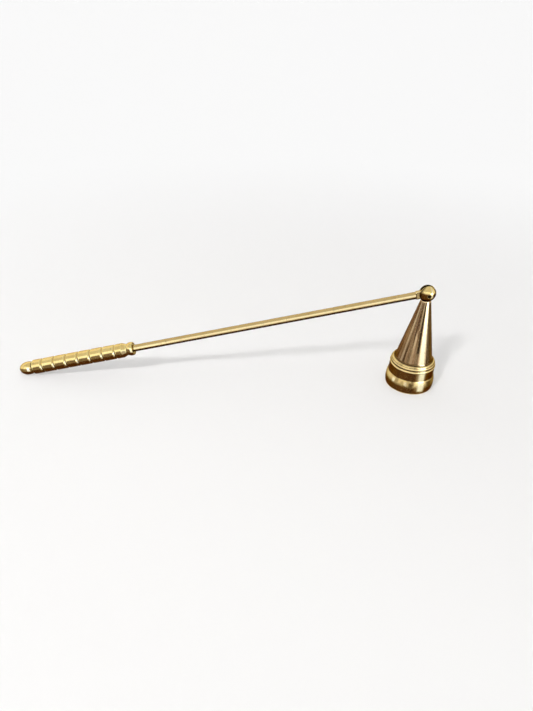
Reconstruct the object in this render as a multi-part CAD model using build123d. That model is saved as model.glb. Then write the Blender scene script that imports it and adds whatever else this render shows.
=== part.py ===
from build123d import *
import math
import os

# Candle snuffer: a bell on a slotted ball, hinged to a long slim handle. Sizes are in millimetres.
# It is drawn as it stands: the bell upright on its mouth and the pommel resting on the same plane,
# z = 0. X runs along the handle towards the bell, the hinge pin lies along Y, and the origin is in
# the middle of the footprint. Turned pieces are drawn as outlines of radius and height.

# Fits
running_gap = 0.05
slip_gap = 0.02
slot_side_gap = 0.10
cut_overrun = 1.0

# Whole object
pivot_height = 69.2
handle_reach = 284.0

# Rod and its flat tongue
rod_radius = 2.38
tongue_height = 5.5
tongue_thickness = 2.0
tongue_showing = 1.6
tongue_blend = 0.7
spigot_step = 0.38
spigot_length = 16.0

# Hinge pin
pin_radius = 1.1
pin_recess = 0.55
pin_chamfer = 0.15

# Slotted ball
ball_radius = 5.4
slot_floor_gap = 1.4
slot_web = 0.45
stem_radius = 2.0
stem_end_gap = 0.4

# Clamp screw and washer
screw_radius = 1.25
screw_bore_depth = 4.4
screw_tip_gap = 0.4
screw_head_radius = 2.25
screw_head_height = 1.4
screw_slot_width = 0.6
screw_slot_depth = 0.6
screw_dome = 0.35
washer_margin = 0.55
washer_thickness = 0.5

# Cone of the bell
cone_foot_radius = 12.42
cone_top_wall = 1.28
cone_top_thickness = 6.6
cone_wall = 1.2
foot_spigot_length = 3.0
foot_chamfer = 0.2

# Collar of the bell: heights from the mouth up
skirt_widest_height = 4.0
skirt_height = 10.3
band_height = 6.1
lower_bead_height = 1.6
groove_height = 0.35
upper_bead_height = 1.75
top_bead_height = 1.0
cove_height = 0.9
bore_shoulder_height = 4.4

# Collar of the bell: widths from the cone out to the mouth
cove_width = 0.91
top_bead_width = 1.0
upper_bead_width = 0.4
lower_bead_width = 0.53
band_taper = 0.17
skirt_step = 0.17
skirt_bulge = 0.98
mouth_rounding = 0.8
rim_width = 0.9
band_wall = 1.38
lower_bead_bulge = 0.4
upper_bead_bulge = 0.35
top_bead_bulge = 0.2
cove_depth = 0.28

# Grip
grip_length = 69.8
grip_radius = 5.05
grip_front_taper = 3.0
grip_neck_depth = 1.15
grip_back_round = 0.9
grip_back_bulge = 0.22
grip_back_drop = 1.3
groove_count = 7
groove_mouth = 1.9
groove_cut = 0.55
groove_front_margin = 5.24
groove_back_margin = 7.7
bore_end_gap = 1.0

# Ferrule
ferrule_length = 4.7
ferrule_lip_length = 0.6
ferrule_lip_rise = 0.15
ferrule_bead_rise = 0.65
ferrule_widest_share = 0.36
ferrule_face_step = 0.25
ferrule_edge = 0.25

# Pommel
pommel_half_length = 6.3
pommel_radius = 4.65
pommel_neck_share = 0.635
stud_radius = 1.6
stud_length = 9.0

# Places along the handle, measured from the pin
pommel_centre = handle_reach - pommel_half_length
grip_back = pommel_centre - pommel_neck_share * pommel_half_length
grip_front = grip_back - grip_length
ferrule_face = grip_front - ferrule_length
tongue_reach = ball_radius + tongue_showing

# Depths in the ball
slot_depth = tongue_height / 2 + slot_floor_gap
ball_seat_drop = slot_depth + slot_web
stem_length = cone_top_thickness - stem_end_gap

# Heights in the bell
band_top_height = skirt_height + band_height
lower_bead_top = band_top_height + lower_bead_height
groove_top_height = lower_bead_top + groove_height
upper_bead_top = groove_top_height + upper_bead_height
top_bead_top = upper_bead_top + top_bead_height
cone_foot_height = top_bead_top + cove_height
foot_seat_height = cone_foot_height - foot_spigot_length
cone_top_height = pivot_height - ball_seat_drop
cone_ceiling_height = cone_top_height - cone_top_thickness

# Radii in the bell
cone_top_radius = stem_radius + slip_gap + cone_top_wall
cone_slope = (cone_foot_radius - cone_top_radius) / (cone_top_height - cone_foot_height)
cone_skin = cone_wall * math.hypot(1, cone_slope)
foot_bore_radius = cone_foot_radius - cone_skin
ceiling_radius = cone_top_radius + cone_slope * cone_top_thickness - cone_skin
seat_radius = cone_foot_radius + slip_gap
cove_edge_radius = seat_radius + cove_width
step_radius = cove_edge_radius + top_bead_width
groove_radius = step_radius + upper_bead_width
band_top_radius = groove_radius + lower_bead_width
band_foot_radius = band_top_radius + band_taper
skirt_top_radius = band_foot_radius + skirt_step
skirt_radius = skirt_top_radius + skirt_bulge
mouth_radius = skirt_radius - mouth_rounding
mouth_bore_radius = mouth_radius - rim_width

# Radii in the grip and the ferrule
spigot_radius = rod_radius - spigot_step
grip_neck_radius = grip_radius - grip_neck_depth
grip_back_radius = grip_radius - grip_back_drop
ferrule_lip_radius = grip_neck_radius + ferrule_lip_rise
ferrule_radius = ferrule_lip_radius + ferrule_bead_rise
ferrule_face_radius = ferrule_radius - ferrule_face_step


def resting_tilt():
    """Slope of the handle at which bell and pommel stand on the same plane."""
    spread = pommel_centre**2 - pommel_half_length**2 + pommel_radius**2
    lift = pivot_height * pommel_centre
    rise = lift - math.sqrt(lift**2 - spread * (pivot_height**2 - pommel_radius**2))
    return math.asin(rise / spread)


tilt = resting_tilt()
pommel_tip_x = pommel_centre * math.cos(tilt) + math.hypot(
    pommel_half_length * math.cos(tilt), pommel_radius * math.sin(tilt)
)
bell_x = (pommel_tip_x - skirt_radius) / 2

bell_frame = Plane(origin=(bell_x, 0, 0))
handle_frame = Plane(
    origin=(bell_x, 0, pivot_height),
    x_dir=(-math.sin(tilt), 0, math.cos(tilt)),
    z_dir=(-math.cos(tilt), 0, -math.sin(tilt)),
)


def at(radius, height):
    """A point of a turned outline."""
    return (radius, 0, height)


def path(*points):
    """Straight edges through points of an outline."""
    return [Edge.make_line(start, end) for start, end in zip(points, points[1:])]


def bow(start, end, bulge):
    """An arc between two outline points, its middle pushed out by bulge."""
    run = (end[0] - start[0], end[2] - start[2])
    span = math.hypot(*run)
    middle = at(
        (start[0] + end[0]) / 2 + bulge * run[1] / span,
        (start[2] + end[2]) / 2 - bulge * run[0] / span,
    )
    return [Edge.make_three_point_arc(start, middle, end)]


def oval(radius, half_height, centre, start_angle, end_angle):
    """An arc of an ellipse about an outline point, in degrees from the outward direction."""
    plane = Plane(origin=centre, x_dir=(1, 0, 0), z_dir=(0, -1, 0))
    return [Edge.make_ellipse(radius, half_height, plane, start_angle, end_angle)]


def turned(edges):
    """A solid of revolution about the outline's own axis."""
    return revolve(Face(Wire(edges)), axis=Axis.Z)


def rod_at(radius, start, length):
    """A round bar along the local axis."""
    return Pos(0, 0, start) * Cylinder(radius, length, align=(Align.CENTER, Align.CENTER, Align.MIN))


def rod():
    """Round rod with a flat, drilled tongue at the hinge and a spigot for the grip."""
    round_start = tongue_reach + tongue_blend
    bar = rod_at(rod_radius, round_start, grip_front - round_start)
    spigot = rod_at(spigot_radius, grip_front, spigot_length)
    flat = Box(
        tongue_height,
        tongue_thickness,
        tongue_reach,
        align=(Align.CENTER, Align.CENTER, Align.MIN),
    )
    nose = Rot(90, 0, 0) * Cylinder(tongue_height / 2, tongue_thickness)
    shoulder = loft(
        [
            Pos(0, 0, tongue_reach) * Rectangle(tongue_height, tongue_thickness),
            Pos(0, 0, round_start) * Circle(rod_radius),
        ]
    )
    hole = Rot(90, 0, 0) * Cylinder(pin_radius + running_gap, tongue_thickness + cut_overrun)
    return handle_frame * (bar + spigot + flat + nose + shoulder - hole)


def ferrule():
    """Turned bead on the rod, with a thin lip against the grip."""
    bore = rod_radius + slip_gap
    lip_start = grip_front - ferrule_lip_length
    widest = ferrule_face + ferrule_widest_share * (lip_start - ferrule_face)
    edges = path(
        at(bore, grip_front),
        at(bore, ferrule_face),
        at(ferrule_face_radius - ferrule_edge, ferrule_face),
        at(ferrule_face_radius, ferrule_face + ferrule_edge),
    )
    edges += [
        Edge.make_three_point_arc(
            at(ferrule_face_radius, ferrule_face + ferrule_edge),
            at(ferrule_radius, widest),
            at(ferrule_lip_radius, lip_start),
        )
    ]
    edges += path(
        at(ferrule_lip_radius, lip_start),
        at(ferrule_lip_radius, grip_front),
        at(bore, grip_front),
    )
    return handle_frame * turned(edges)


def grip():
    """Barrel with V-grooves, coned to a neck in front, bored for the rod and the pommel's stud."""
    barrel_front = grip_front + grip_front_taper
    first_groove = barrel_front + groove_front_margin
    last_groove = grip_back - groove_back_margin
    groove_pitch = (last_groove - first_groove) / (groove_count - 1)
    outline = [
        at(0, grip_front),
        at(grip_neck_radius, grip_front),
        at(grip_radius, barrel_front),
    ]
    for index in range(groove_count):
        groove = first_groove + index * groove_pitch
        outline += [
            at(grip_radius, groove - groove_mouth / 2),
            at(grip_radius - groove_cut, groove),
            at(grip_radius, groove + groove_mouth / 2),
        ]
    outline.append(at(grip_radius, grip_back - grip_back_round))
    edges = path(*outline)
    edges += bow(outline[-1], at(grip_back_radius, grip_back), grip_back_bulge)
    edges += path(at(grip_back_radius, grip_back), at(0, grip_back), at(0, grip_front))
    rod_bore = rod_at(spigot_radius + slip_gap, grip_front, spigot_length + bore_end_gap)
    stud_bore_length = stud_length + bore_end_gap
    stud_bore = rod_at(stud_radius + slip_gap, grip_back - stud_bore_length, stud_bore_length)
    return handle_frame * (turned(edges) - rod_bore - stud_bore)


def pommel():
    """Olive-shaped knob on a stud that enters the back of the grip."""
    neck_angle = -math.asin(pommel_neck_share)
    neck = at(pommel_radius * math.cos(neck_angle), grip_back)
    centre = at(0, pommel_centre)
    edges = oval(pommel_radius, pommel_half_length, centre, math.degrees(neck_angle), 90)
    edges += path(at(0, handle_reach), at(0, grip_back), neck)
    stud = rod_at(stud_radius, grip_back - stud_length, stud_length)
    return handle_frame * (turned(edges) + stud)


def swivel_ball():
    """Ball with a slot for the tongue and a cross hole, on a drilled stem that enters the cone."""
    ball = Sphere(ball_radius)
    below = Box(
        2 * ball_radius,
        2 * ball_radius,
        ball_radius,
        align=(Align.CENTER, Align.CENTER, Align.MAX),
    )
    ball -= Pos(0, 0, -ball_seat_drop) * below
    ball += rod_at(stem_radius, -ball_seat_drop - stem_length, stem_length)
    slot = Box(
        2 * ball_radius + cut_overrun,
        tongue_thickness + 2 * slot_side_gap,
        slot_depth + ball_radius + cut_overrun,
        align=(Align.CENTER, Align.CENTER, Align.MIN),
    )
    ball -= Pos(0, 0, -slot_depth) * slot
    ball -= Rot(90, 0, 0) * Cylinder(pin_radius + slip_gap, 2 * (ball_radius + cut_overrun))
    ball -= rod_at(screw_radius + slip_gap, -ball_seat_drop - stem_length, screw_bore_depth)
    return Pos(bell_x, 0, pivot_height) * ball


def pivot_pin():
    """Pin pressed across the ball, its ends set back in the hole."""
    half_length = math.sqrt(ball_radius**2 - pin_radius**2) - pin_recess
    edges = path(
        at(0, -half_length),
        at(pin_radius - pin_chamfer, -half_length),
        at(pin_radius, pin_chamfer - half_length),
        at(pin_radius, half_length - pin_chamfer),
        at(pin_radius - pin_chamfer, half_length),
        at(0, half_length),
        at(0, -half_length),
    )
    return Pos(bell_x, 0, pivot_height) * Rot(90, 0, 0) * turned(edges)


def bell_cone():
    """Tall hollow cone with a solid top for the ball's stem and a straight spigot at its foot."""
    stem_bore = stem_radius + slip_gap
    edges = path(
        at(foot_bore_radius, foot_seat_height),
        at(cone_foot_radius - foot_chamfer, foot_seat_height),
        at(cone_foot_radius, foot_seat_height + foot_chamfer),
        at(cone_foot_radius, cone_foot_height),
        at(cone_top_radius, cone_top_height),
        at(stem_bore, cone_top_height),
        at(stem_bore, cone_ceiling_height),
        at(ceiling_radius, cone_ceiling_height),
        at(foot_bore_radius, cone_foot_height),
        at(foot_bore_radius, foot_seat_height),
    )
    return bell_frame * turned(edges)


def bell_collar():
    """Moulded skirt: bulged mouth, plain band, two beads and a cove that seats the cone."""
    skirt_top = at(skirt_top_radius, skirt_height)
    band_top = at(band_top_radius, band_top_height)
    groove_foot = at(groove_radius, lower_bead_top)
    groove_top = at(groove_radius, groove_top_height)
    step = at(step_radius, upper_bead_top)
    cove_edge = at(cove_edge_radius, top_bead_top)
    seat_top = at(seat_radius, cone_foot_height)

    edges = path(at(mouth_bore_radius, 0), at(mouth_radius, 0))
    edges += oval(
        skirt_radius - mouth_radius,
        skirt_widest_height,
        at(mouth_radius, skirt_widest_height),
        270,
        360,
    )
    edges += [Edge.make_tangent_arc(at(skirt_radius, skirt_widest_height), Vector(0, 0, 1), skirt_top)]
    edges += path(skirt_top, at(band_foot_radius, skirt_height), band_top)
    edges += bow(band_top, groove_foot, lower_bead_bulge)
    edges += path(groove_foot, groove_top)
    edges += bow(groove_top, step, upper_bead_bulge)
    edges += bow(step, cove_edge, top_bead_bulge)
    edges += bow(cove_edge, seat_top, -cove_depth)
    edges += path(
        seat_top,
        at(seat_radius, foot_seat_height),
        at(foot_bore_radius, foot_seat_height),
        at(band_top_radius - band_wall, foot_seat_height - bore_shoulder_height),
        at(mouth_bore_radius, 0),
    )
    return bell_frame * turned(edges)


def clamp_washer():
    """Flat washer against the ceiling inside the cone."""
    washer_radius = screw_head_radius + washer_margin
    ring = rod_at(washer_radius, cone_ceiling_height - washer_thickness, washer_thickness)
    ring -= rod_at(
        screw_radius + running_gap,
        cone_ceiling_height - washer_thickness - cut_overrun,
        washer_thickness + 2 * cut_overrun,
    )
    return bell_frame * ring


def clamp_screw():
    """Slotted screw from inside the bell into the ball's stem."""
    head_top = cone_ceiling_height - washer_thickness
    head_bottom = head_top - screw_head_height
    screw_tip = cone_ceiling_height + stem_end_gap + screw_bore_depth - screw_tip_gap
    rim = at(screw_head_radius, head_bottom + screw_dome)
    edges = path(
        at(0, screw_tip),
        at(screw_radius, screw_tip),
        at(screw_radius, head_top),
        at(screw_head_radius, head_top),
        rim,
    )
    edges += [Edge.make_tangent_arc(at(0, head_bottom), Vector(1, 0, 0), rim)]
    edges += path(at(0, head_bottom), at(0, screw_tip))
    slot = Box(
        2 * screw_head_radius + cut_overrun,
        screw_slot_width,
        screw_slot_depth + cut_overrun,
        align=(Align.CENTER, Align.CENTER, Align.MAX),
    )
    screw = turned(edges) - Pos(0, 0, head_bottom + screw_slot_depth) * slot
    return bell_frame * screw


pieces = {
    "rod": rod,
    "ferrule": ferrule,
    "grip": grip,
    "pommel": pommel,
    "pivot_pin": pivot_pin,
    "swivel_ball": swivel_ball,
    "bell_cone": bell_cone,
    "bell_collar": bell_collar,
    "clamp_washer": clamp_washer,
    "clamp_screw": clamp_screw,
}

os.makedirs("parts", exist_ok=True)
for name, make in pieces.items():
    export_step(make(), f"parts/{name}.step")

print(f"handle slopes {math.degrees(tilt):.3f} degrees, pin at x {bell_x:.3f} z {pivot_height:.3f}")
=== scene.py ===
import math

import bmesh
import bpy
from mathutils import Matrix, Vector


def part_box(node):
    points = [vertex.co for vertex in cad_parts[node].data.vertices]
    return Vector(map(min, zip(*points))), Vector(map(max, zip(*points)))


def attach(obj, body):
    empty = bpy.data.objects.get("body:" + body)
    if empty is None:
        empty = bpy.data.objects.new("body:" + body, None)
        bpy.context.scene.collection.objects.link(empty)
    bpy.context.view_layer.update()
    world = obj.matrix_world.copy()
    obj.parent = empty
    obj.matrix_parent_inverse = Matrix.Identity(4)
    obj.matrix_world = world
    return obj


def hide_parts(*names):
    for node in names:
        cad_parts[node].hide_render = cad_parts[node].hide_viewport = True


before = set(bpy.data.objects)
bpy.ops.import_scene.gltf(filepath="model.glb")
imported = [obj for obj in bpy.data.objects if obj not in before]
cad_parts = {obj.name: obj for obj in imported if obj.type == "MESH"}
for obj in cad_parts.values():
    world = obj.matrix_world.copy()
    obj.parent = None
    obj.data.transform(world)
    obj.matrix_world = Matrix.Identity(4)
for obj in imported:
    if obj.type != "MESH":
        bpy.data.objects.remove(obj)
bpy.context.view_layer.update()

# A candle snuffer in aged brass. Outlines are written in millimetres as radius and height in the
# piece's own frame, whose Z axis is the turning axis, and built in metres.
MM = 0.001
TINY = 1e-6


def centre_of(node):
    low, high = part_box(node)
    return (low + high) / 2


PIN = centre_of("pivot_pin")
BELL = Matrix.Translation(Vector((PIN.x, PIN.y, 0.0)))

# Handle, measured from the pin towards the pommel
REACH = 284.0
HALF_POMMEL = 6.3
POMMEL_R = 4.65
NECK_SHARE = 0.635
POMMEL_C = REACH - HALF_POMMEL
GRIP_BACK = POMMEL_C - NECK_SHARE * HALF_POMMEL
GRIP_FRONT = GRIP_BACK - 69.8
FERRULE_FACE = GRIP_FRONT - 4.7
ROD_R = 2.38
BALL_R = 5.4

# Height of the cone's ceiling inside, and the washer's thickness under it
CEILING = 58.0
WASHER = 0.5


def handle_slope():
    """The slope at which the pommel and the bell's mouth rest on the same floor."""
    height = PIN.z / MM
    spread = POMMEL_C**2 - HALF_POMMEL**2 + POMMEL_R**2
    lift = height * POMMEL_C
    rise = lift - math.sqrt(lift**2 - spread * (height**2 - POMMEL_R**2))
    return math.asin(rise / spread)


SLOPE = handle_slope()
HANDLE = Matrix.Translation(PIN) @ Matrix(
    (
        (-math.sin(SLOPE), 0.0, -math.cos(SLOPE), 0.0),
        (0.0, 1.0, 0.0, 0.0),
        (math.cos(SLOPE), 0.0, -math.sin(SLOPE), 0.0),
        (0.0, 0.0, 0.0, 1.0),
    )
)


# Outlines
def arc_through(a, m, b, steps=14):
    """Points of the circle through a, m and b, from a to b."""
    ax, ay, bx, by, mx, my = *a, *b, *m
    d = 2 * (ax * (my - by) + mx * (by - ay) + bx * (ay - my))
    sa, sm, sb = ax * ax + ay * ay, mx * mx + my * my, bx * bx + by * by
    ux = (sa * (my - by) + sm * (by - ay) + sb * (ay - my)) / d
    uy = (sa * (bx - mx) + sm * (ax - bx) + sb * (mx - ax)) / d
    r = math.hypot(ax - ux, ay - uy)
    t0, tm, t1 = (math.atan2(p[1] - uy, p[0] - ux) for p in (a, m, b))
    turn = (t1 - t0) % math.tau
    if (tm - t0) % math.tau > turn:
        turn -= math.tau
    return [
        (ux + r * math.cos(t0 + turn * i / steps), uy + r * math.sin(t0 + turn * i / steps))
        for i in range(steps + 1)
    ]


def bow(a, b, bulge, steps=12):
    """An arc from a to b with its middle pushed to the right of the way by bulge."""
    dx, dy = b[0] - a[0], b[1] - a[1]
    span = math.hypot(dx, dy)
    middle = ((a[0] + b[0]) / 2 + bulge * dy / span, (a[1] + b[1]) / 2 - bulge * dx / span)
    return arc_through(a, middle, b, steps)


def oval(rx, ry, cx, cy, start, end, steps=24):
    """Points of an ellipse, in degrees from the outward direction."""
    turns = [math.radians(start + (end - start) * i / steps) for i in range(steps + 1)]
    return [(cx + rx * math.cos(t), cy + ry * math.sin(t)) for t in turns]


def eased(corners, steps=4):
    """Rounds each corner (r, h, radius) of an open outline and keeps points without a radius."""
    out = []
    for i, corner in enumerate(corners):
        p = Vector(corner[:2])
        radius = corner[2] if len(corner) > 2 else 0.0
        if radius <= 0 or i in (0, len(corners) - 1):
            out.append(tuple(p))
            continue
        a, b = Vector(corners[i - 1][:2]) - p, Vector(corners[i + 1][:2]) - p
        half = a.angle(b) / 2
        back = min(radius / math.tan(half), 0.45 * a.length, 0.45 * b.length)
        r = back * math.tan(half)
        start, end = p + a.normalized() * back, p + b.normalized() * back
        middle = p + (a.normalized() + b.normalized()).normalized() * (r / math.sin(half) - r)
        out += arc_through(tuple(start), tuple(middle), tuple(end), steps)
    return out


def supported(points, guard=0.09, further=(0.35, 0.8), longest=6.0):
    """Adds points close to both ends of each long edge, so that its shading stays straight."""
    out = [points[0]]
    for a, b in zip(points, points[1:]):
        span = math.hypot(b[0] - a[0], b[1] - a[1])
        if span > 4 * guard:
            near = [s for s in (guard, *further) if s < span / 2]
            first, inner = near[-1], span - 2 * near[-1]
            count = max(1, math.ceil(inner / longest))
            stops = near[:-1] + [first + inner * i / count for i in range(count + 1)]
            stops += [span - s for s in near[-2::-1]]
            out += [(a[0] + (b[0] - a[0]) * s / span, a[1] + (b[1] - a[1]) * s / span) for s in stops]
        if span > TINY:
            out.append(b)
    return out


def relief(points, reach=0.7):
    """For each outline point, how far in mm it stands out of its surroundings, or back if negative."""
    lengths = [0.0]
    for a, b in zip(points, points[1:]):
        lengths.append(lengths[-1] + math.hypot(b[0] - a[0], b[1] - a[1]))

    def at(s):
        s = min(max(s, 0.0), lengths[-1])
        k = 0
        while k < len(lengths) - 2 and lengths[k + 1] < s:
            k += 1
        span = lengths[k + 1] - lengths[k] or 1.0
        t = (s - lengths[k]) / span
        a, b = points[k], points[k + 1]
        return Vector((a[0] + (b[0] - a[0]) * t, a[1] + (b[1] - a[1]) * t))

    values = []
    for s, p in zip(lengths, points):
        ahead, behind = at(s + reach), at(s - reach)
        way = ahead - behind
        if way.length < TINY:
            values.append(0.0)
            continue
        outward = Vector((way.y, -way.x)).normalized()
        values.append((Vector(p) - (ahead + behind) / 2).dot(outward))
    return values


# Meshes
def finished(name, mesh, place, body, nodes):
    """Makes an object of a mesh in a piece's frame and sets it on its body in place of its nodes."""
    for face in mesh.polygons:
        face.use_smooth = True
    own = mesh.attributes.new("own", "FLOAT_VECTOR", "POINT")
    for i, vertex in enumerate(mesh.vertices):
        own.data[i].vector = vertex.co / MM
    mesh.transform(place)
    obj = bpy.data.objects.new(name, mesh)
    bpy.context.scene.collection.objects.link(obj)
    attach(obj, body)
    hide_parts(*nodes)
    return obj


def lathe_into(bm, points, segments, flip=False, axis="z", stand=None):
    """Adds a surface of revolution to bm, with the outline's relief in the layer named relief."""
    layer = bm.verts.layers.float.get("relief") or bm.verts.layers.float.new("relief")
    values = stand if stand is not None else relief(points)
    rings = []
    for (r, h), value in zip(points, values):
        if r < TINY:
            where = (0.0, 0.0, h) if axis == "z" else (0.0, h, 0.0)
            v = bm.verts.new(Vector(where) * MM)
            v[layer] = value
            rings.append([v])
            continue
        ring = []
        for i in range(segments):
            t = math.tau * i / segments
            if axis == "z":
                where = (r * math.cos(t), r * math.sin(t), h)
            else:
                where = (r * math.sin(t), h, r * math.cos(t))
            v = bm.verts.new(Vector(where) * MM)
            v[layer] = value
            ring.append(v)
        rings.append(ring)
    for low, high in zip(rings, rings[1:]):
        for i in range(segments):
            j = (i + 1) % segments
            corners = [low[i % len(low)], low[j % len(low)], high[j % len(high)], high[i % len(high)]]
            corners = list(dict.fromkeys(corners))
            if len(corners) > 2:
                bm.faces.new(corners[::-1] if flip else corners)


def mesh_of(bm, name):
    """The mesh of bm, with its faces turned outward."""
    bmesh.ops.recalc_face_normals(bm, faces=bm.faces)
    mesh = bpy.data.meshes.new(name)
    bm.to_mesh(mesh)
    bm.free()
    return mesh


def turned(name, points, place, body, nodes, segments):
    """A piece turned from one outline."""
    bm = bmesh.new()
    lathe_into(bm, supported(points), segments)
    return finished(name, mesh_of(bm, name), place, body, nodes)


def rod_mesh():
    """The round rod, its flat tongue with the rounded nose, and the spigot, as rings of one skin."""
    around, nose_steps, blend_steps = 96, 12, 8
    nose, side, tongue, blend = 2.75, 1.0, 7.0, 0.7
    corner, corner_relief, tip, edge_gap, ring_gap = 0.22, 0.08, 0.05, 0.1, 2.4
    # each station is its place along the rod, half the tongue's height there, and how flat it is
    stations = []
    for i in range(nose_steps + 1):
        a = math.radians(90 * i / nose_steps)
        stations.append((-nose * math.cos(a), max(nose * math.sin(a), tip), 1.0))
    stations += [(s, nose, 1.0) for s in (1.5, 3.0, 4.5, 6.0, tongue - 0.12, tongue)]
    for i in range(1, blend_steps + 1):
        t = i / blend_steps
        stations.append((tongue + blend * t, nose, 1.0 - t))
    s = tongue + blend
    while s < GRIP_FRONT - edge_gap:
        stations.append((s, nose, 0.0))
        s += edge_gap if s < tongue + blend + edge_gap else ring_gap
    stations.append((GRIP_FRONT, nose, 0.0))
    bm = bmesh.new()
    layer = bm.verts.layers.float.new("relief")
    rings = []
    for s, up, flat in stations:
        ring = []
        edge = min(corner, up * 0.9)
        for i in range(around):
            t = math.tau * i / around
            c, d = math.cos(t), math.sin(t)
            reach = 1.0 / max(abs(c) / up, abs(d) / side)
            x, y = c * reach, d * reach
            over_x, over_y = abs(x) - (up - edge), abs(y) - (side - edge)
            stand = 0.0
            if over_x > 0 and over_y > 0:
                out = math.hypot(over_x, over_y)
                keep = edge / out if out > edge else 1.0
                x = math.copysign(up - edge + over_x * keep, x)
                y = math.copysign(side - edge + over_y * keep, y)
                stand = corner_relief
            x, y = x * flat + ROD_R * c * (1 - flat), y * flat + ROD_R * d * (1 - flat)
            v = bm.verts.new(Vector((x, y, s)) * MM)
            v[layer] = stand * flat
            ring.append(v)
        rings.append(ring)
    for low, high in zip(rings, rings[1:]):
        for i in range(around):
            j = (i + 1) % around
            bm.faces.new((low[i], low[j], high[j], high[i]))
    bm.faces.new(rings[0])
    bm.faces.new(rings[-1][::-1])
    spigot_r, spigot_foot, spigot_end = 2.0, GRIP_FRONT - 0.2, GRIP_FRONT + 16.0
    spigot = [(0, spigot_foot), (spigot_r, spigot_foot), (spigot_r, spigot_end - 0.3)]
    spigot += [(spigot_r - 0.3, spigot_end), (0, spigot_end)]
    lathe_into(bm, spigot, 48)
    return mesh_of(bm, "rod")


def ball_mesh():
    """Two ears turned about the pin, the web under the slot and the stem."""
    bm = bmesh.new()
    half_slot, hole, seat, floor = 1.1, 1.12, -4.6, -4.15
    skin_steps, web_steps = 36, 20
    end = math.degrees(math.asin(hole / BALL_R))
    inner = math.degrees(math.acos(half_slot / BALL_R))
    for sign in (1, -1):
        turns = [math.radians(inner + (end - inner) * i / skin_steps) for i in range(skin_steps + 1)]
        skin = [(BALL_R * math.sin(t), BALL_R * math.cos(t)) for t in turns]
        corners = [(hole, half_slot), (*skin[0], 0.13)] + skin[1:-1]
        corners += [(*skin[-1], 0.1), (hole, half_slot)]
        points = [(r, sign * h) for r, h in supported(eased(corners), guard=0.06)]
        stand = relief([(r, sign * h) for r, h in points], 0.5)
        lathe_into(bm, points, 160, flip=sign < 0, axis="y", stand=stand)
    bmesh.ops.remove_doubles(bm, verts=bm.verts, dist=1e-7)
    cut = bmesh.ops.bisect_plane(
        bm,
        geom=bm.verts[:] + bm.edges[:] + bm.faces[:],
        plane_co=Vector((0, 0, seat)) * MM,
        plane_no=(0, 0, -1),
        clear_outer=True,
    )
    edges = [e for e in cut["geom_cut"] if isinstance(e, bmesh.types.BMEdge)]
    bmesh.ops.holes_fill(bm, edges=edges)
    across = [half_slot * (2 * i / web_steps - 1) for i in range(web_steps + 1)]
    rows = []
    for h in (seat, floor):
        bend = math.sqrt(BALL_R**2 - h**2)
        for sign in (1, -1):
            row = [Vector((sign * math.sqrt(bend**2 - y**2), y, h)) * MM for y in across]
            rows.append([bm.verts.new(place) for place in row])
    low_a, low_b, high_a, high_b = rows
    for a, b in ((low_a, high_a), (high_a, high_b), (high_b, low_b), (low_b, low_a)):
        for i in range(web_steps):
            bm.faces.new((a[i], a[i + 1], b[i + 1], b[i]))
    stem_r, stem_end, bore_r, bore_end, chamfer = 2.0, -10.8, 1.27, -6.4, 0.25
    stem = [(bore_r, stem_end), (stem_r - chamfer, stem_end), (stem_r, stem_end + chamfer)]
    stem += [(stem_r, seat + 0.1)]
    bore = [(bore_r, stem_end), (bore_r, bore_end), (0, bore_end)]
    lathe_into(bm, supported(stem), 64)
    lathe_into(bm, bore, 64)
    return mesh_of(bm, "swivel_ball")


def screw_mesh():
    """A slotted head with a low dome on a plain shank, turned, then cut by the slot."""
    head_r, shank_r, tip = 2.25, 1.25, 62.4
    top, bottom, dome = CEILING - WASHER, CEILING - WASHER - 1.4, 0.35
    slot_long, slot_wide, slot_deep, knife_tall = 6.0, 0.6, 0.6, 1.6
    head = [(0, tip), (shank_r - 0.2, tip), (shank_r, tip - 0.2), (shank_r, top)]
    head += [(head_r - 0.1, top), (head_r, top - 0.1)]
    head += arc_through((head_r, bottom + dome), (1.2, bottom + 0.1), (0.0, bottom), 16)
    bm = bmesh.new()
    lathe_into(bm, supported(head, guard=0.05), 72)
    body = mesh_of(bm, "screw_turned")
    bm = bmesh.new()
    bmesh.ops.create_cube(bm, size=1.0)
    bmesh.ops.scale(bm, vec=Vector((slot_long, slot_wide, knife_tall)) * MM, verts=bm.verts)
    bmesh.ops.translate(bm, vec=Vector((0, 0, bottom + slot_deep - knife_tall / 2)) * MM, verts=bm.verts)
    knife = mesh_of(bm, "screw_knife")
    one, two = bpy.data.objects.new("screw_turned", body), bpy.data.objects.new("screw_knife", knife)
    for obj in (one, two):
        bpy.context.scene.collection.objects.link(obj)
    cut = one.modifiers.new("slot", "BOOLEAN")
    cut.operation, cut.solver, cut.object = "DIFFERENCE", "EXACT", two
    bpy.context.view_layer.update()
    made = bpy.data.meshes.new_from_object(one.evaluated_get(bpy.context.evaluated_depsgraph_get()))
    made.name = "clamp_screw"
    for obj in (one, two):
        bpy.data.objects.remove(obj)
    return made


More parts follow.
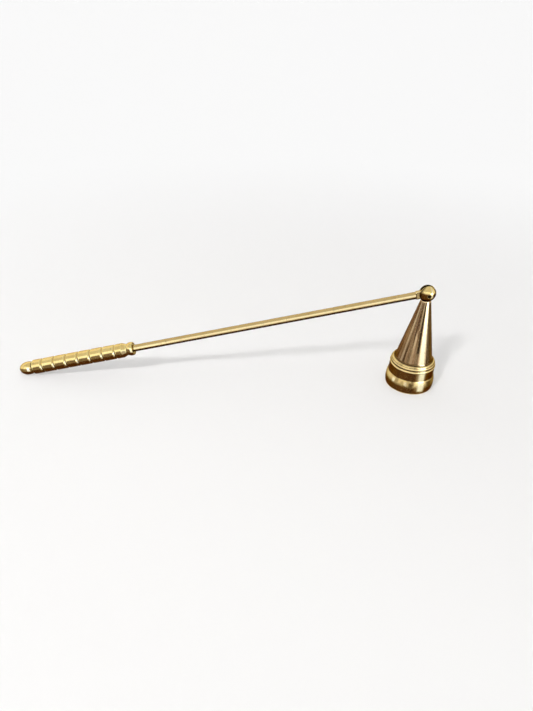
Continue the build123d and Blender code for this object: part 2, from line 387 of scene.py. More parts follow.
# Bell collar, from the mouth up and back down inside
BORE_R, MOUTH_R, SKIRT_R, SKIRT_TOP_R = 14.9, 15.8, 16.6, 15.62
BAND_FOOT_R, BAND_TOP_R = 15.45, 15.28
LOWER_BEAD_R, UPPER_BEAD_R, TOP_BEAD_R, SEAT_R = 14.75, 14.35, 13.35, 12.44
FOOT_BORE_R, SHOULDER_R = 11.193, 13.9
SKIRT_H, SKIRT_TOP = 4.0, 10.3
BAND_TOP = 16.4
LOWER_BEAD = BAND_TOP + 1.6
GROOVE = LOWER_BEAD + 0.35
UPPER_BEAD = GROOVE + 1.75
TOP_BEAD = UPPER_BEAD + 1.0
FOOT = TOP_BEAD + 0.9
SHOULDER = FOOT - 7.4
SPIGOT = FOOT - 3.0
SKIRT_BULGE = (16.359, 7.19)
collar = [(BORE_R, 0.0), (MOUTH_R, 0.0)]
collar += oval(SKIRT_R - MOUTH_R, SKIRT_H, MOUTH_R, SKIRT_H, -90, 0, 24)[1:]
collar += arc_through((SKIRT_R, SKIRT_H), SKIRT_BULGE, (SKIRT_TOP_R, SKIRT_TOP), 20)[1:-1]
collar += [(SKIRT_TOP_R, SKIRT_TOP, 0.1), (BAND_FOOT_R, SKIRT_TOP, 0.05), (BAND_TOP_R, BAND_TOP, 0.05)]
collar += bow((BAND_TOP_R, BAND_TOP), (LOWER_BEAD_R, LOWER_BEAD), 0.4, 14)[1:-1]
collar += [(LOWER_BEAD_R, LOWER_BEAD, 0.06), (LOWER_BEAD_R, GROOVE, 0.06)]
collar += bow((LOWER_BEAD_R, GROOVE), (UPPER_BEAD_R, UPPER_BEAD), 0.35, 14)[1:-1]
collar += [(UPPER_BEAD_R, UPPER_BEAD, 0.04)]
collar += bow((UPPER_BEAD_R, UPPER_BEAD), (TOP_BEAD_R, TOP_BEAD), 0.2, 10)[1:-1]
collar += [(TOP_BEAD_R, TOP_BEAD, 0.08)]
collar += bow((TOP_BEAD_R, TOP_BEAD), (SEAT_R, FOOT), -0.28, 10)[1:-1]
collar += [(SEAT_R, FOOT, 0.04), (SEAT_R, SPIGOT), (FOOT_BORE_R, SPIGOT, 0.05)]
collar += [(SHOULDER_R, SHOULDER, 0.2), (BORE_R, 0.0)]

# Cone, from its spigot in the collar up and back down inside
CONE_R, CONE_TOP_R, CONE_TOP, STEM_BORE_R, CEILING_R = 12.42, 3.3, 64.6, 2.02, 3.486
CONE_CHAMFER = 0.2
cone = [(FOOT_BORE_R, SPIGOT), (CONE_R - CONE_CHAMFER, SPIGOT), (CONE_R, SPIGOT + CONE_CHAMFER)]
cone += [(CONE_R, FOOT, 0.15), (CONE_TOP_R, CONE_TOP, 0.12), (STEM_BORE_R, CONE_TOP)]
cone += [(STEM_BORE_R, CEILING), (CEILING_R, CEILING, 0.2), (FOOT_BORE_R, FOOT, 0.2)]
cone += [(FOOT_BORE_R, SPIGOT)]

# Grip, from the bore for the rod along the barrel to the bore for the pommel's stud
GRIP_R, GRIP_NECK_R, GRIP_BACK_R, GRIP_BORE_R, STUD_BORE_R = 5.05, 3.9, 3.75, 2.02, 1.62
GROOVES, GROOVE_HALF, GROOVE_CUT = 7, 0.95, 0.55
STRAIGHT_END = GRIP_BACK - 0.9
first, last = GRIP_FRONT + 8.24, GRIP_BACK - 7.7
grip = [(GRIP_BORE_R, GRIP_FRONT + 17.0), (GRIP_BORE_R, GRIP_FRONT)]
grip += [(GRIP_NECK_R, GRIP_FRONT, 0.1), (GRIP_R, GRIP_FRONT + 3.0, 0.25)]
for i in range(GROOVES):
    h = first + (last - first) * i / (GROOVES - 1)
    grip += [(GRIP_R, h - GROOVE_HALF, 0.14), (GRIP_R - GROOVE_CUT, h, 0.1)]
    grip += [(GRIP_R, h + GROOVE_HALF, 0.14)]
grip += [(GRIP_R, STRAIGHT_END, 0.12)]
grip += bow((GRIP_R, STRAIGHT_END), (GRIP_BACK_R, GRIP_BACK), 0.22, 8)[1:-1]
grip += [(GRIP_BACK_R, GRIP_BACK, 0.08), (STUD_BORE_R, GRIP_BACK)]
grip += [(STUD_BORE_R, GRIP_BACK - 10.0), (0, GRIP_BACK - 10.0)]

# Ferrule, a bead with a lip against the grip
FERRULE_BORE_R, FACE_R, FERRULE_R, LIP_R = 2.4, 4.2, 4.7, 4.05
BEAD_LENGTH = 4.1
LIP = GRIP_FRONT - 0.6
face_edge = (4.45, FERRULE_FACE + 0.25)
widest = FERRULE_FACE + 0.36 * BEAD_LENGTH
ferrule = [(FERRULE_BORE_R, GRIP_FRONT), (FERRULE_BORE_R, FERRULE_FACE, 0.05)]
ferrule += [(FACE_R, FERRULE_FACE, 0.06), (*face_edge, 0.06)]
ferrule += arc_through(face_edge, (FERRULE_R, widest), (LIP_R, LIP), 20)[1:-1]
ferrule += [(LIP_R, LIP, 0.06), (LIP_R, GRIP_FRONT, 0.08), (FERRULE_BORE_R, GRIP_FRONT)]

# Pommel, an oval cut off at its neck, with the stud in the grip
STUD_R, STUD_END, STUD_CHAMFER = 1.6, GRIP_BACK - 9.0, 0.15
neck = -math.degrees(math.asin(NECK_SHARE))
pommel = [(0, STUD_END), (STUD_R - STUD_CHAMFER, STUD_END), (STUD_R, STUD_END + STUD_CHAMFER)]
pommel += [(STUD_R, GRIP_BACK), (POMMEL_R * math.cos(math.radians(neck)), GRIP_BACK, 0.08)]
pommel += oval(POMMEL_R, HALF_POMMEL, 0, POMMEL_C, neck, 90, 40)[1:]

# Pivot pin, set back in the ball's hole at both ends
PIN_R, PIN_CHAMFER, PIN_RECESS = 1.1, 0.15, 0.55
pin_end = math.sqrt(BALL_R**2 - PIN_R**2) - PIN_RECESS
pin = [(0, -pin_end), (PIN_R - PIN_CHAMFER, -pin_end, 0.05), (PIN_R, PIN_CHAMFER - pin_end)]
pin += [(PIN_R, pin_end - PIN_CHAMFER), (PIN_R - PIN_CHAMFER, pin_end, 0.05), (0, pin_end)]

# Washer under the cone's ceiling
WASHER_BORE_R, WASHER_R = 1.3, 2.8
washer = [(WASHER_BORE_R, CEILING - WASHER), (WASHER_R, CEILING - WASHER, 0.08)]
washer += [(WASHER_R, CEILING, 0.08), (WASHER_BORE_R, CEILING), (WASHER_BORE_R, CEILING - WASHER)]

PIN_PLACE = Matrix.Translation(PIN) @ Matrix.Rotation(math.radians(90), 4, "X")
made = {
    "rod": finished("rod_dressed", rod_mesh(), HANDLE, "handle", ["rod"]),
    "ferrule": turned("ferrule_dressed", eased(ferrule), HANDLE, "handle", ["ferrule"], 112),
    "grip": turned("grip_dressed", eased(grip), HANDLE, "handle", ["grip"], 128),
    "pommel": turned("pommel_dressed", eased(pommel), HANDLE, "handle", ["pommel"], 112),
    "pin": turned("pivot_pin_dressed", eased(pin), PIN_PLACE, "bell", ["pivot_pin"], 56),
    "ball": finished("swivel_ball_dressed", ball_mesh(), Matrix.Translation(PIN), "bell", ["swivel_ball"]),
    "cone": turned("bell_cone_dressed", eased(cone), BELL, "bell", ["bell_cone"], 192),
    "collar": turned("bell_collar_dressed", eased(collar), BELL, "bell", ["bell_collar"], 224),
    "washer": turned("clamp_washer_dressed", eased(washer), BELL, "bell", ["clamp_washer"], 72),
    "screw": finished("clamp_screw_dressed", screw_mesh(), BELL, "bell", ["clamp_screw"]),
}

# Pieces with flats keep the edges of these crisp
SHARP = math.radians(38)
for piece in ("ball", "screw", "rod"):
    mesh = made[piece].data
    for edge in mesh.edges:
        edge.use_edge_sharp = False
    mesh.set_sharp_from_angle(angle=SHARP)


# Materials
class Graph:
    """Short names for the nodes of one material."""

    def __init__(self, name):
        self.material = bpy.data.materials.new(name)
        self.material.use_nodes = True
        self.tree = self.material.node_tree
        self.tree.nodes.clear()

    def node(self, kind, **settings):
        made_node = self.tree.nodes.new(kind)
        for key, value in settings.items():
            setattr(made_node, key, value)
        return made_node

    def put(self, socket, value):
        if isinstance(value, bpy.types.NodeSocket):
            self.tree.links.new(value, socket)
        else:
            socket.default_value = value

    def maths(self, operation, a, b=0.0, clamp=False):
        n = self.node("ShaderNodeMath", operation=operation, use_clamp=clamp)
        self.put(n.inputs[0], a)
        self.put(n.inputs[1], b)
        return n.outputs[0]

    def plus(self, a, b, clamp=False):
        return self.maths("ADD", a, b, clamp)

    def minus(self, a, b):
        return self.maths("SUBTRACT", a, b)

    def times(self, a, b):
        return self.maths("MULTIPLY", a, b)

    def most(self, a, b):
        return self.maths("MAXIMUM", a, b)

    def sway(self, value, amount):
        """How far a noise value is from its middle of 0.5, times amount."""
        return self.times(self.minus(value, 0.5), amount)

    def vector(self, operation, a, b):
        n = self.node("ShaderNodeVectorMath", operation=operation)
        self.put(n.inputs[0], a)
        self.put(n.inputs[1], b)
        return n.outputs[0]

    def ramp(self, value, low, high, to_low=0.0, to_high=1.0):
        """A smooth step from low to high."""
        n = self.node("ShaderNodeMapRange", interpolation_type="SMOOTHSTEP")
        self.put(n.inputs["Value"], value)
        self.put(n.inputs["From Min"], low)
        self.put(n.inputs["From Max"], high)
        self.put(n.inputs["To Min"], to_low)
        self.put(n.inputs["To Max"], to_high)
        return n.outputs[0]

    def noise(self, vector, scale, detail=4.0, rough=0.55, distortion=0.0):
        n = self.node("ShaderNodeTexNoise", noise_dimensions="3D")
        self.put(n.inputs["Vector"], vector)
        self.put(n.inputs["Scale"], scale)
        self.put(n.inputs["Detail"], detail)
        self.put(n.inputs["Roughness"], rough)
        self.put(n.inputs["Distortion"], distortion)
        return n.outputs[0]

    def mix(self, share, a, b):
        n = self.node("ShaderNodeMix", data_type="RGBA")
        self.put(n.inputs["Factor"], share)
        self.put(n.inputs["A"], a)
        self.put(n.inputs["B"], b)
        return n.outputs["Result"]

    def join(self, x, y, z):
        n = self.node("ShaderNodeCombineXYZ")
        for socket, value in zip(n.inputs, (x, y, z)):
            self.put(socket, value)
        return n.outputs[0]


# Depths in metres of the metal's soft waves and of its fine lines
WAVE_DEPTH, LINE_DEPTH = 0.00003, 0.00001

# Colours of the metal and of the brown patina on it, which also serve as painted shade
BRIGHT = (0.82, 0.62, 0.27, 1.0)
DEEP = (0.74, 0.54, 0.21, 1.0)
ROD_BRIGHT = (0.75, 0.57, 0.265, 1.0)
ROD_DEEP = (0.68, 0.51, 0.215, 1.0)
ROD_BROWN = (0.055, 0.022, 0.005, 1.0)
GRIP_BRIGHT = (0.98, 0.76, 0.32, 1.0)
GRIP_DEEP = (0.91, 0.67, 0.25, 1.0)
GRIP_BROWN = (0.070, 0.020, 0.002, 1.0)
GRIP_METAL = (GRIP_BRIGHT, GRIP_DEEP, GRIP_BROWN)
DULL = (0.30, 0.20, 0.08, 1.0)
BROWN = (0.085, 0.030, 0.004, 1.0)
COLLAR_BROWN = (0.108, 0.042, 0.008, 1.0)
CONE_BRIGHT = (0.80, 0.58, 0.31, 1.0)
CONE_DEEP = (0.68, 0.45, 0.21, 1.0)
CONE_BROWN = (0.135, 0.058, 0.022, 1.0)
# DARK and PIN_DEEP are near blacks used as painted shade
DARK = (0.03, 0.016, 0.006, 1.0)
PIN_DEEP = (0.012, 0.008, 0.004, 1.0)


def brass(
    name,
    bright,
    deep,
    stain_and_shade,
    roughness,
    anisotropy,
    axis,
    lines="turned",
    shade_under_range=(0.12, -0.45),
    shade_under_share=1.0,
    shade_under_full=(0.06, -0.14),
    film_share=0.25,
    hollow_share=0.5,
    hollow_rough=0.0,
    flank_highlight=0.0,
    flank_highlight_range=None,
    rings_of_film=(),
    highlight_belt=0.0,
    hole=0.0,
    crest_share=0.5,
    cover=0.0,
    streaks=0.0,
    reflection_fans=(),
    highlight_colour=(0.93, 0.80, 0.48, 1.0),
    shade_depth=0.7,
    edge=(0.6, 0.46, 0.28, 1.0),
    bump=0.2,
    seed=0.0,
):
    """Aged brass: clean metal (bright), toned metal (deep) and a brown patina over them (stain), whose
    colour is also that of painted shade.

    axis is the turning axis at rest, and lines says whether the fine lines are turned round it or
    drawn along it. polished is the colour of the painted highlights, edge the metal's tint at grazing
    angles, bump the depth of the fine lines.

    The patina lies in clouds (film_share), as an even coat (cover), in marks along the axis (streaks)
    and in hollows (hollow_share, with hollow_rough). Painted shade, standing in for dark reflections
    from below, darkens what faces down: at shade_under_share between the two heights of the normal in
    shade_under_range, and whole over shade_under_full. rings_of_film are (low, high, fade, share) along
    the axis in mm, and hole is the radius of a cross hole with its patina darkened in and round it as
    painted shade.

    The patina is worn off the crests (crest_share). Painted highlights lie along the upper flank
    (belt) and, by flank_highlight, on the flanks that lean back along the axis; flank_highlight_range
    gives the leans at which these start, are full, fade and end. fans are (azimuth, half width, share),
    with low, high and fade in mm for those that don't run all along: strips of painted highlight where
    share is above zero, and of painted dark reflection, darkened by shade_depth, where it is below.
    Azimuths are in degrees about the axis, 0 in front and positive to the right.
    """
    g = Graph(name)
    p = g.node("ShaderNodeAttribute", attribute_name="own").outputs["Vector"]
    parts = g.node("ShaderNodeSeparateXYZ")
    g.put(parts.inputs[0], p)
    x, y, z = parts.outputs
    radius = g.most(g.maths("SQRT", g.plus(g.times(x, x), g.times(y, y))), 0.01)
    cos_t, sin_t = g.maths("DIVIDE", x, radius), g.maths("DIVIDE", y, radius)
    coords = g.node("ShaderNodeTexCoord")
    normal = g.node("ShaderNodeSeparateXYZ")
    g.put(normal.inputs[0], coords.outputs["Normal"])
    facing = normal.outputs[2]

    shift = g.vector("ADD", p, (seed * 17.3, seed * 5.1, seed * 9.7))
    broad = g.noise(shift, 0.11, 4.0, 0.6, 0.4)
    cloud = g.noise(shift, 0.5, 6.0, 0.62, 0.6)
    fine = g.noise(shift, 2.6, 5.0, 0.65)
    speck = g.noise(shift, 4.2, 2.0, 0.5)

    # rings left by the lathe or lines left by drawing, long streaks, and stray scratches
    rings = g.noise(g.join(seed, 0.0, z), 6.5, 5.0, 0.7)
    broad_rings = g.noise(g.join(seed, 3.0, z), 0.8, 3.0, 0.6)
    round_about = g.join(cos_t, sin_t, g.times(z, 0.004))
    streak = g.noise(g.vector("ADD", round_about, (seed, 0.0, 0.0)), 5.5, 4.0, 0.6)
    thin_streak = g.noise(g.vector("ADD", round_about, (0.0, seed, 0.0)), 17.0, 3.0, 0.6)
    grain = rings if lines == "turned" else thin_streak
    slanted = g.join(
        g.plus(g.times(z, 0.16), g.times(y, 0.5)),
        g.minus(g.times(z, 2.4), g.times(y, 1.3)),
        g.times(x, 0.7),
    )
    scratch = g.ramp(g.noise(slanted, 1.9, 2.0, 0.4), 0.66, 0.70)

    stand = g.node("ShaderNodeAttribute", attribute_name="relief").outputs["Fac"]
    uneven = g.sway(fine, 0.08)
    crest = g.ramp(g.plus(stand, uneven), 0.04, 0.14)
    hollow = g.ramp(g.minus(uneven, stand), 0.04, 0.16)

    clouded = g.plus(g.times(broad, 0.6), g.times(cloud, 0.4))
    tone = g.ramp(clouded, 0.38, 0.62)
    colour = g.mix(tone, deep, bright)
    colour = g.mix(g.times(g.ramp(broad_rings, 0.4, 0.7), 0.2), colour, deep)

    film_and_shade = g.times(g.ramp(cloud, 0.52, 0.74), film_share)
    if cover:
        film_and_shade = g.most(film_and_shade, g.ramp(broad, 0.3, 0.7, cover * 0.85, cover))
    if streaks:
        marks = g.minus(g.ramp(streak, 0.40, 0.62), g.times(g.ramp(thin_streak, 0.5, 0.6), 0.4))
        film_and_shade = g.plus(film_and_shade, g.sway(marks, streaks), clamp=True)
    # painted shade: darker where the surface faces down, standing in for dark reflections from below
    ragged_facing = g.plus(facing, g.sway(cloud, 0.12))
    film_and_shade = g.most(film_and_shade, g.times(g.ramp(ragged_facing, *shade_under_range), shade_under_share))
    if shade_under_share < 1.0:
        film_and_shade = g.most(film_and_shade, g.ramp(ragged_facing, *shade_under_full))
    film_and_shade = g.most(film_and_shade, g.times(hollow, hollow_share))
    highlight_mask, shaded = None, None
    for low, high, fade, share in rings_of_film:
        seam = g.times(g.ramp(z, low - 0.1, low + 0.1), g.ramp(z, high + fade, high, 0.0, share))
        film_and_shade = g.most(film_and_shade, seam)
        crest = g.times(crest, g.minus(1.0, seam))
    # painted shade in and round the cross hole for the pin
    if hole:
        from_pin = g.maths("SQRT", g.plus(g.times(x, x), g.times(z, z)))
        shaded = g.ramp(from_pin, hole + 0.12, hole - 0.08)
        crest = g.times(crest, g.ramp(from_pin, hole + 0.2, hole + 0.6, 0.3, 1.0))
    # painted highlights on the flanks that lean back along the axis
    if flank_highlight:
        dot = g.node("ShaderNodeVectorMath", operation="DOT_PRODUCT")
        g.put(dot.inputs[0], coords.outputs["Normal"])
        dot.inputs[1].default_value = axis
        lean = dot.outputs["Value"]
        if flank_highlight_range:
            start, full, fade, end = flank_highlight_range
            flank = g.ramp(lean, start, full, 0.0, flank_highlight)
            flank = g.times(flank, g.ramp(lean, end, fade))
        else:
            flank = g.ramp(lean, -0.2, -0.42, 0.0, flank_highlight)
            flank = g.times(flank, g.ramp(hollow, 0.0, 0.5, 0.35, 1.0))
        crest = g.times(crest, g.ramp(facing, 0.0, 0.45, 0.05, 1.0))
        highlight_mask = g.times(flank, g.ramp(facing, 0.66, 0.42))
        highlight_mask = g.times(highlight_mask, g.ramp(facing, -0.16, 0.1))
    # a painted highlight band along the upper flank
    if highlight_belt:
        highlight_mask = g.times(g.ramp(facing, 0.0, 0.3), g.ramp(facing, 0.66, 0.44, 0.0, highlight_belt))
    # strips of painted highlight where share is above zero and of painted dark reflection where it is
    # below
    for azimuth, half_width, share, *window_z in reflection_fans:
        a = math.radians(azimuth)
        near = g.plus(g.times(cos_t, math.sin(a)), g.times(sin_t, -math.cos(a)))
        outer = math.cos(math.radians(half_width * 1.9))
        inner = math.cos(math.radians(half_width * 0.3))
        wobble = g.sway(streak, (inner - outer) * 0.8)
        reflection_streak = g.ramp(g.plus(near, wobble), outer, inner)
        if window_z:
            low, high, fade = window_z
            ragged = g.plus(z, g.sway(cloud, fade * 2.0))
            above = g.ramp(ragged, low - fade, low + fade)
            below = g.ramp(ragged, high + fade, high - fade)
            reflection_streak = g.times(reflection_streak, g.times(above, below))
        if share > 0:
            reflection_streak = g.times(reflection_streak, g.ramp(facing, -0.5, -0.04, 0.0, share))
            film_and_shade = g.times(film_and_shade, g.minus(1.0, reflection_streak))
            highlight_mask = reflection_streak if highlight_mask is None else g.most(highlight_mask, reflection_streak)
        else:
            reflection_streak = g.times(reflection_streak, -share)
            film_and_shade = g.most(film_and_shade, reflection_streak)
            shaded = reflection_streak if shaded is None else g.most(shaded, reflection_streak)
    if flank_highlight:
        film_and_shade = g.times(film_and_shade, g.minus(1.0, highlight_mask))
    film_and_shade = g.times(film_and_shade, g.ramp(crest, 0.0, 1.0, 1.0, 0.5))
    film_and_shade = g.plus(film_and_shade, g.times(g.ramp(speck, 0.71, 0.77), 0.3), clamp=True)
    # the painted highlights take their own lighter colour
    if highlight_mask is not None:
        colour = g.mix(highlight_mask, colour, highlight_colour)
    # painted shade: the brown turns towards near black
    if shaded is not None:
        stain_and_shade = g.mix(g.times(shaded, shade_depth), stain_and_shade, DARK)
    colour = g.mix(film_and_shade, colour, stain_and_shade)
    worn = (min(bright[0] * 1.15, 1.0), min(bright[1] * 1.18, 1.0), min(bright[2] * 1.3, 1.0), 1.0)
    colour = g.mix(g.times(crest, crest_share), colour, worn)
    colour = g.mix(g.times(scratch, 0.25), colour, worn)

    rough = g.plus(roughness, g.sway(broad, 0.08))
    rough = g.plus(rough, g.sway(grain, 0.05))
    rough = g.plus(rough, g.times(film_and_shade, 0.05))
    if hollow_rough:
        rough = g.plus(rough, g.times(hollow, hollow_rough))
    rough = g.plus(rough, g.times(scratch, 0.08))
    rough = g.most(rough, 0.05)

    # grooves run round the axis on turned pieces and along it on drawn ones
    turning = g.node("ShaderNodeVectorTransform", vector_type="VECTOR")
    turning.convert_from, turning.convert_to = "OBJECT", "WORLD"
    turning.inputs[0].default_value = axis
    surface = g.node("ShaderNodeNewGeometry").outputs["Normal"]
    across = g.vector("CROSS_PRODUCT", turning.outputs[0], surface)
    if lines == "turned":
        across = g.vector("CROSS_PRODUCT", surface, across)
    tangent = g.vector("NORMALIZE", across, (0.0, 0.0, 0.0))

    shader = g.node("ShaderNodeBsdfPrincipled")
    g.put(shader.inputs["Base Color"], colour)
    g.put(shader.inputs["Roughness"], rough)
    g.put(shader.inputs["Tangent"], tangent)
    shader.inputs["Metallic"].default_value = 1.0
    shader.inputs["Specular Tint"].default_value = edge
    shader.inputs["Anisotropic"].default_value = anisotropy

    waves = g.node("ShaderNodeBump")
    waves.inputs["Strength"].default_value = bump
    waves.inputs["Distance"].default_value = WAVE_DEPTH
    g.put(waves.inputs["Height"], cloud)
    lines_bump = g.node("ShaderNodeBump")
    lines_bump.inputs["Strength"].default_value = bump
    lines_bump.inputs["Distance"].default_value = LINE_DEPTH
    g.put(lines_bump.inputs["Height"], g.minus(grain, g.times(scratch, 0.5)))
    g.put(lines_bump.inputs["Normal"], waves.outputs[0])
    g.put(shader.inputs["Normal"], lines_bump.outputs[0])
    out = g.node("ShaderNodeOutputMaterial")
    g.put(out.inputs["Surface"], shader.outputs[0])
    return g.material


ALONG = tuple(HANDLE.col[2][:3])
ACROSS = (0.0, 1.0, 0.0)
UP = (0.0, 0.0, 1.0)

# Strips of painted highlight and of painted dark reflection, as (azimuth, half width, share) and, for
# some, their heights
BALL_REFLECTION_FANS = (
    (19, 5, 0.85),
    (-82, 22, -0.95),
    (-104, 12, -0.9),
    (-140, 24, -0.9),
    (64, 14, -0.75),
)
COLLAR_REFLECTION_FANS = (
    (14, 6, 0.97, 2.6, 40.0, 1.2),
    (12, 9, 0.3, 3.0, 40.0, 1.2),
    (-57, 3, 0.85, 6.4, 9.2, 0.7),
    (-24, 2.5, 0.6, 6.4, 9.0, 0.7),
    (-49, 2, -0.5, 5.6, 8.6, 0.7),
    (-33, 2.5, -0.4, 5.6, 8.8, 0.7),
    (-10, 5, -0.9, 5.2, 9.0, 0.7),
    (112, 14, 0.7),
    (-158, 12, 0.7),
    (38, 8, -0.9, 4.6, 9.6, 0.7),
    (52, 12, -0.65),
    (-8, 3, -0.7),
    (-15, 8, -0.4),
    (-47, 3, -0.45),
)
CONE_REFLECTION_FANS = (
    (2, 3, 0.3),
    (-24, 3, 0.4, 31.0, 44.0, 5.0),
    (-24, 3, 0.25, 10.0, 31.0, 4.0),
    (-25, 3, -0.7, 47.0, 70.0, 4.0),
    (-17, 3, 0.35, 46.0, 70.0, 4.0),
    (-40, 3, 0.14),
    (-57, 3, 0.42),
    (-53, 5, 0.3, 44.0, 70.0, 4.0),
    (-48, 3, -0.6),
    (-32, 3, -0.6),
    (-7, 5, -1.0, 28.0, 70.0, 4.0),
    (-8, 3, -0.6),
    (40, 12, -0.9),
    (13, 8, 0.95),
    (112, 14, 0.7),
    (-158, 12, 0.7),
)

looks = {
    # the rod's lighter middle band is a painted highlight and its dark underside painted shade
    "rod": brass(
        "rod_brass",
        ROD_BRIGHT,
        ROD_DEEP,
        ROD_BROWN,
        roughness=0.16,
        anisotropy=0.2,
        axis=ALONG,
        lines="drawn",
        shade_under_range=(0.1, -0.1),
        highlight_belt=0.85,
        highlight_colour=(0.83, 0.67, 0.37, 1.0),
        edge=(0.28, 0.18, 0.09, 1.0),
        bump=0.05,
        seed=1.0,
    ),
    # ferrule, grip and pommel carry painted highlights on their flanks and painted shade underneath
    "ferrule": brass(
        "ferrule_brass",
        *GRIP_METAL,
        roughness=0.12,
        anisotropy=0.3,
        axis=ALONG,
        shade_under_range=(0.5, 0.36),
        shade_under_share=0.88,
        shade_under_full=(0.2, -0.1),
        flank_highlight=0.95,
        flank_highlight_range=(-0.02, -0.1, -0.5, -0.7),
        highlight_colour=(1.0, 0.93, 0.66, 1.0),
        bump=0.08,
        seed=2.0,
    ),
    "grip": brass(
        "grip_brass",
        *GRIP_METAL,
        roughness=0.12,
        anisotropy=0.3,
        axis=ALONG,
        shade_under_range=(0.49, 0.35),
        shade_under_share=0.86,
        shade_under_full=(0.25, -0.04),
        hollow_share=0.18,
        hollow_rough=0.35,
        flank_highlight=0.95,
        rings_of_film=((GRIP_BACK - 0.7, GRIP_BACK + 1.0, 0.5, 0.8),),
        highlight_colour=(1.0, 0.93, 0.66, 1.0),
        bump=0.08,
        seed=3.0,
    ),
    "pommel": brass(
        "pommel_brass",
        *GRIP_METAL,
        roughness=0.12,
        anisotropy=0.3,
        axis=ALONG,
        shade_under_range=(0.48, 0.28),
        shade_under_share=0.85,
        shade_under_full=(0.15, -0.12),
        flank_highlight=0.97,
        flank_highlight_range=(-0.04, -0.12, -0.26, -0.36),
        rings_of_film=((GRIP_BACK - 1.0, GRIP_BACK + 0.35, 0.6, 0.95),),
        highlight_colour=(1.0, 0.95, 0.72, 1.0),
        bump=0.08,
        seed=4.0,
    ),
    # the ball's bright crescent is a painted highlight, its dark rims and lower half painted shade
    "ball": brass(
        "ball_brass",
        GRIP_BRIGHT,
        GRIP_DEEP,
        BROWN,
        roughness=0.09,
        anisotropy=0.0,
        axis=UP,
        shade_under_range=(0.46, 0.14),
        crest_share=0.0,
        hole=PIN_R + 0.2,
        reflection_fans=BALL_REFLECTION_FANS,
        highlight_colour=(1.0, 0.9, 0.56, 1.0),
        edge=(0.14, 0.08, 0.035, 1.0),
        bump=0.1,
        seed=5.0,
    ),
    # the pin is painted nearly black, as painted shade in the recess of its hole
    "pin": brass(
        "pin_brass",
        DARK,
        PIN_DEEP,
        PIN_DEEP,
        roughness=0.5,
        anisotropy=0.2,
        axis=ACROSS,
        film_share=1.0,
        crest_share=0.0,
        cover=0.98,
        seed=6.0,
    ),
    # the cone's brown coat is patina that also stands in for dark reflections, and its strips are painted
    # highlights and painted dark reflections
    "cone": brass(
        "cone_brass",
        CONE_BRIGHT,
        CONE_DEEP,
        CONE_BROWN,
        roughness=0.21,
        anisotropy=0.8,
        axis=UP,
        shade_under_range=(0.0, -0.3),
        cover=0.98,
        streaks=0.25,
        rings_of_film=((FOOT - 1.0, FOOT + 0.2, 0.7, 0.95),),
        reflection_fans=CONE_REFLECTION_FANS,
        highlight_colour=(0.88, 0.785, 0.52, 1.0),
        shade_depth=0.97,
        edge=(0.45, 0.34, 0.24, 1.0),
        bump=0.08,
        seed=7.0,
    ),
    # the collar's dark band and lower skirt are painted shade, its bright column and strips painted
    # highlights and painted dark reflections
    "collar": brass(
        "collar_brass",
        BRIGHT,
        DEEP,
        COLLAR_BROWN,
        roughness=0.2,
        anisotropy=0.7,
        axis=UP,
        shade_under_range=(0.22, 0.03),
        hollow_share=0.9,
        rings_of_film=(
            (TOP_BEAD - 0.05, FOOT + 1.0, 0.5, 0.9),
            (UPPER_BEAD - 0.35, UPPER_BEAD - 0.15, 0.2, 0.6),
        ),
        reflection_fans=COLLAR_REFLECTION_FANS,
        highlight_colour=(1.0, 0.93, 0.62, 1.0),
        edge=(0.5, 0.38, 0.22, 1.0),
        bump=0.08,
        seed=8.0,
    ),
    "washer": brass(
        "washer_brass",
        DULL,
        DULL,
        BROWN,
        roughness=0.35,
        anisotropy=0.3,
        axis=UP,
        film_share=0.6,
        seed=9.0,
    ),
    "screw": brass(
        "screw_brass",
        DEEP,
        DULL,
        BROWN,
        roughness=0.32,
        anisotropy=0.2,
        axis=UP,
        film_share=0.6,
        seed=10.0,
    ),
}
for piece, look in looks.items():
    made[piece].data.materials.clear()
    made[piece].data.materials.append(look)


# Studio, arranged about a place in the object's half with the bell
CENTRE = (0.06, 0.0, 0.04)


def floor_material():
    """Pale matt floor that keeps the object's shadow near it."""
    g = Graph("studio_floor")
    coords = g.node("ShaderNodeTexCoord")
    cloud = g.noise(coords.outputs["Object"], 3.0, 3.0, 0.5)
    shader = g.node("ShaderNodeBsdfPrincipled")
    pale, paler = (0.875, 0.875, 0.875, 1.0), (0.885, 0.885, 0.885, 1.0)
    g.put(shader.inputs["Base Color"], g.mix(cloud, pale, paler))
    shader.inputs["Roughness"].default_value = 0.85
    shader.inputs["Specular IOR Level"].default_value = 0.2

    # away from the object the backdrop turns white for what is seen of it, directly or in metal
    place = g.node("ShaderNodeVectorMath", operation="DISTANCE")
    g.put(place.inputs[0], coords.outputs["Object"])
    place.inputs[1].default_value = (CENTRE[0], CENTRE[1], 0.0)
    away = g.ramp(place.outputs["Value"], 0.05, 0.7, 0.35, 0.92)
    ray = g.node("ShaderNodeLightPath").outputs
    mirrored = g.most(ray["Is Glossy Ray"], ray["Is Transmission Ray"])
    seen = g.most(ray["Is Camera Ray"], mirrored)
    white = g.node("ShaderNodeEmission")
    white.inputs["Color"].default_value = (1.0, 1.0, 1.0, 1.0)
    white.inputs["Strength"].default_value = 0.97
    blend = g.node("ShaderNodeMixShader")
    g.put(blend.inputs[0], g.times(away, seen))
    g.put(blend.inputs[1], shader.outputs[0])
    g.put(blend.inputs[2], white.outputs[0])
    out = g.node("ShaderNodeOutputMaterial")
    g.put(out.inputs["Surface"], blend.outputs[0])
    return g.material


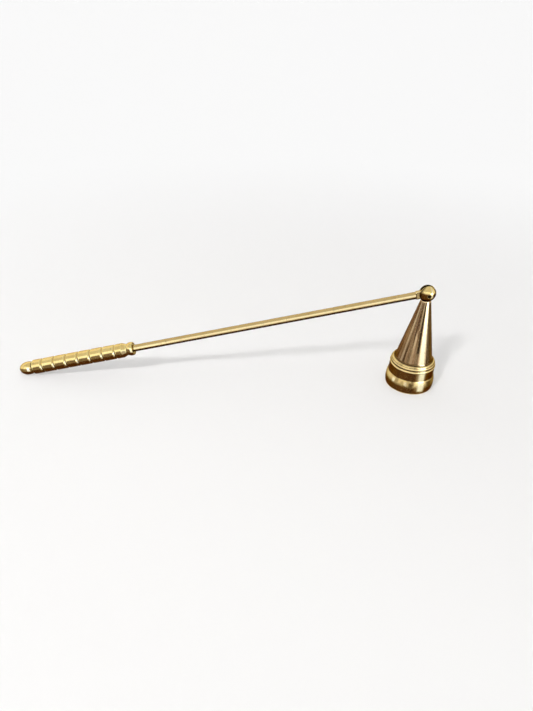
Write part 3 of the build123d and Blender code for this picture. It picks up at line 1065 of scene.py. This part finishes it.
def cove():
    """A pale floor with walls that curve up from it, close behind the object and far off elsewhere."""
    wall, front, half_width, height, bend, border = 1.15, -4.0, 4.0, 3.2, 0.45, 0.7
    squareness, around, bend_steps = 10.0, 192, 24
    middle, half_depth = (wall + front) / 2, (wall - front) / 2
    profile = [(bend + border, 0.0), (bend, 0.0)]
    for i in range(1, bend_steps + 1):
        t = math.radians(90 * i / bend_steps)
        profile.append((bend - bend * math.sin(t), bend - bend * math.cos(t)))
    profile.append((0.0, height))
    bm = bmesh.new()
    rings = []
    for inward, z in profile:
        ring = []
        for i in range(around):
            t = math.tau * i / around
            c, s = math.cos(t), math.sin(t)
            reach = (abs(c) ** squareness + abs(s) ** squareness) ** (-1.0 / squareness)
            x, y = (half_width - inward) * c * reach, (half_depth - inward) * s * reach
            ring.append(bm.verts.new((x, middle + y, z)))
        rings.append(ring)
    for low, high in zip(rings, rings[1:]):
        for i in range(around):
            j = (i + 1) % around
            bm.faces.new((low[i], low[j], high[j], high[i]))
    bm.faces.new(rings[0][::-1])
    mesh = bpy.data.meshes.new("cove")
    bm.to_mesh(mesh)
    bm.free()
    for face in mesh.polygons:
        face.use_smooth = True
    mesh.materials.append(floor_material())
    obj = bpy.data.objects.new("cove", mesh)
    bpy.context.scene.collection.objects.link(obj)


def panel(name, centre, target, width, height, radiance, colour=(1.0, 1.0, 1.0)):
    """A soft panel lamp that shines towards target from one side and is hidden itself."""
    g = Graph(name)
    back = g.node("ShaderNodeNewGeometry").outputs["Backfacing"]
    glow = g.node("ShaderNodeEmission")
    glow.inputs["Color"].default_value = (*colour, 1.0)
    g.put(glow.inputs["Strength"], g.times(g.minus(1.0, back), radiance))
    out = g.node("ShaderNodeOutputMaterial")
    g.put(out.inputs["Surface"], glow.outputs[0])
    bm = bmesh.new()
    half_w, half_h = width / 2, height / 2
    corners = [(-half_w, -half_h, 0), (half_w, -half_h, 0), (half_w, half_h, 0), (-half_w, half_h, 0)]
    bm.faces.new([bm.verts.new(c) for c in corners])
    mesh = bpy.data.meshes.new(name)
    bm.to_mesh(mesh)
    bm.free()
    mesh.materials.append(g.material)
    obj = bpy.data.objects.new(name, mesh)
    bpy.context.scene.collection.objects.link(obj)
    obj.location = centre
    obj.rotation_euler = (Vector(target) - Vector(centre)).to_track_quat("Z", "Y").to_euler()
    obj.visible_camera = False
    return obj


def toward(azimuth, elevation, distance):
    """The place at that distance from the centre, with azimuth 0 in front and positive to the right."""
    a, e = math.radians(azimuth), math.radians(elevation)
    way = Vector((math.sin(a) * math.cos(e), -math.cos(a) * math.cos(e), math.sin(e)))
    return Vector(CENTRE) + way * distance


cove()
panel("ceiling", (0.0, 0.0, 1.5), (0.0, 0.0, 0.0), 4.2, 4.2, 0.69, (1.0, 0.98, 0.96))
front_fill = panel("front_fill", toward(-20, 21, 1.2), CENTRE, 2.0, 0.9, 1.3, (0.94, 0.99, 1.07))
window = panel("window", toward(42, 7, 0.95), CENTRE, 0.72, 0.30, 4.8, (0.98, 1.0, 1.0))
panel("back_fill", toward(-128, 32, 1.3), CENTRE, 1.1, 0.6, 0.95, (1.0, 0.98, 0.94))
panel("strip", toward(-26, -1, 0.85), CENTRE, 0.08, 0.16, 3.0)
key = panel("key", toward(-38, 42, 1.7), CENTRE, 0.22, 0.22, 116.0, (1.0, 0.99, 0.98))
key.visible_glossy = False
for lamp in (front_fill, window):
    lamp.visible_diffuse = False
    lamp.visible_shadow = False

world = bpy.data.worlds.new("studio")
world.use_nodes = True
ground = world.node_tree.nodes["Background"]
ground.inputs["Color"].default_value = (0.20, 0.18, 0.16, 1.0)
ground.inputs["Strength"].default_value = 1.0
scene = bpy.context.scene
scene.world = world

# Camera
lens = bpy.data.cameras.new("camera")
lens.sensor_fit = "VERTICAL"
lens.sensor_height = 36.0
lens.lens = 27.038
lens.shift_x = 0.00765
lens.shift_y = 0.0405
lens.clip_start = 0.01
camera = bpy.data.objects.new("camera", lens)
scene.collection.objects.link(camera)
camera.location = (0.021833, -0.314156, 0.217967)
camera.rotation_euler = (0.952796, -0.021, 0.006374)
scene.camera = camera
scene.view_settings.view_transform = "Standard"
